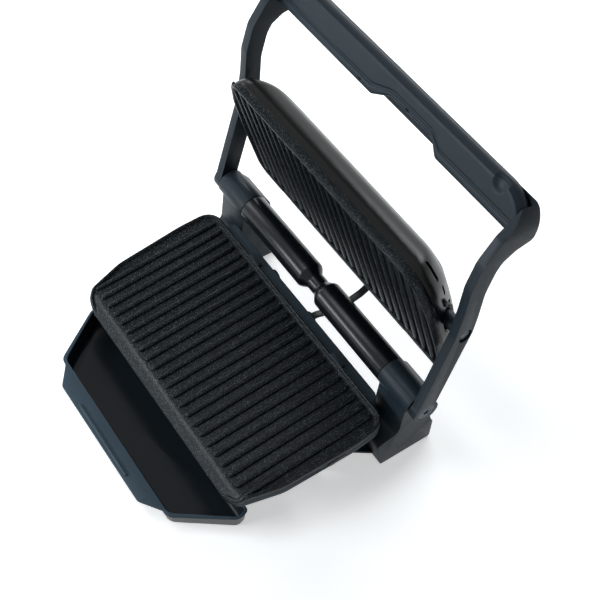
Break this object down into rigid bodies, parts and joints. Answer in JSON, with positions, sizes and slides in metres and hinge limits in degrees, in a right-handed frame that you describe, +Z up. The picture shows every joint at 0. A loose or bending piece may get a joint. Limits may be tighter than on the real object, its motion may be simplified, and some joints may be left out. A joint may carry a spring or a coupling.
{
  "type": "electric indoor grill",
  "caption": "Open electric contact grill: ribbed lower plate, hinged lid with a floating ribbed plate on two arms joined by a handle, and a pull-out drip tray",
  "frame": {"origin": "on the table, under the middle of the open grill's box", "axes": "+X along the hinge to the right as the user sees it, -Y to the front, +Z up"},
  "size_m": [0.482, 0.4649, 0.4631],
  "materials": {
    "black_plastic": "satin",
    "gloss_black": "gloss",
    "housing": "satin",
    "nonstick": "speckled satin non-stick coating",
    "tray_plastic": "satin",
    "steel": "brushed",
    "aluminium": "satin",
    "brass": "turned",
    "rubber": "matt",
    "board": "solder mask",
    "key": "satin",
    "ring": "translucent",
    "pan": "matt"
  },
  "bodies": {
    "base": {"base_shell": "housing", "base_pan": "pan", "leg_left": "black_plastic", "leg_right": "black_plastic", "hinge_barrel": "black_plastic", "hinge_bushes": "brass", "plate_lower": "nonstick", "reflector_lower": "aluminium", "element_lower": "steel", "clips_lower": "steel", "sensor_lower": "steel", "power_board": "board", "mains_inlet": "rubber", "cable_gland_base": "rubber", "link_cable": "rubber", "feet_front": "rubber", "feet_rear": "rubber", "base_screws": "steel"},
    "arms": {"hinge_shaft": "steel", "arm_left": "black_plastic", "arm_right": "black_plastic", "pivot_caps": "aluminium", "pivot_bolts": "steel", "handle_lower": "black_plastic", "handle_cover": "black_plastic", "handle_screws": "steel", "control_panel": "gloss_black", "indicator_ring": "ring", "control_board": "board"},
    "lid": {"lid_shell": "gloss_black", "lid_frame": "aluminium", "pivot_bosses": "black_plastic", "plate_upper": "nonstick", "reflector_upper": "aluminium", "element_upper": "steel", "clips_upper": "steel", "sensor_upper": "steel", "cable_gland_lid": "rubber"},
    "tray": {"drip_tray": "tray_plastic"},
    "lower_release": {"release_lower": "black_plastic"},
    "upper_release": {"release_upper": "black_plastic"},
    "power_key_body": {"power_key": "key"},
    "thaw_key_body": {"thaw_key": "key"},
    "poultry_key_body": {"poultry_key": "key"},
    "fish_key_body": {"fish_key": "key"},
    "steak_key_body": {"steak_key": "key"},
    "manual_key_body": {"manual_key": "key"},
    "start_button_body": {"start_button": "key"}
  },
  "joints": [
    {"name": "lid_hinge", "type": "hinge", "parent": "base", "child": "arms", "pos_m": [0, 0.1165, 0.128], "axis": [1, 0, 0], "range_deg": [0, 107.5], "deforming": ["link_cable"]},
    {"name": "lid_float", "type": "hinge", "parent": "arms", "child": "lid", "pos_m": [0, 0.15332, 0.26783], "axis": [1, 0, 0], "range_deg": [-28.5, 0]},
    {"name": "tray_slide", "type": "slide", "parent": "base", "child": "tray", "axis": [0, -1, 0], "range_m": [0, 0.1]},
    {"name": "lower_release_push", "type": "slide", "parent": "base", "child": "lower_release", "axis": [-1, 0, 0], "range_m": [0, 0.003], "stiffness_N_per_m": 1200},
    {"name": "upper_release_push", "type": "slide", "parent": "lid", "child": "upper_release", "axis": [-1, 0, 0], "range_m": [0, 0.003], "stiffness_N_per_m": 1200},
    {"name": "power_key_press", "type": "slide", "parent": "arms", "child": "power_key_body", "axis": [0, -0.967, 0.2546], "range_m": [0, 0.001], "stiffness_N_per_m": 1500},
    {"name": "thaw_key_press", "type": "slide", "parent": "arms", "child": "thaw_key_body", "axis": [0, -0.967, 0.2546], "range_m": [0, 0.001], "stiffness_N_per_m": 1500},
    {"name": "poultry_key_press", "type": "slide", "parent": "arms", "child": "poultry_key_body", "axis": [0, -0.967, 0.2546], "range_m": [0, 0.001], "stiffness_N_per_m": 1500},
    {"name": "fish_key_press", "type": "slide", "parent": "arms", "child": "fish_key_body", "axis": [0, -0.967, 0.2546], "range_m": [0, 0.001], "stiffness_N_per_m": 1500},
    {"name": "steak_key_press", "type": "slide", "parent": "arms", "child": "steak_key_body", "axis": [0, -0.967, 0.2546], "range_m": [0, 0.001], "stiffness_N_per_m": 1500},
    {"name": "manual_key_press", "type": "slide", "parent": "arms", "child": "manual_key_body", "axis": [0, -0.967, 0.2546], "range_m": [0, 0.001], "stiffness_N_per_m": 1500},
    {"name": "start_button_press", "type": "slide", "parent": "arms", "child": "start_button_body", "axis": [0, -0.967, 0.2546], "range_m": [0, 0.001], "stiffness_N_per_m": 1500}
  ],
  "couplings": [
    {"joint": "lid_float", "follows": "lid_hinge", "ratio": -0.26381}
  ]
}
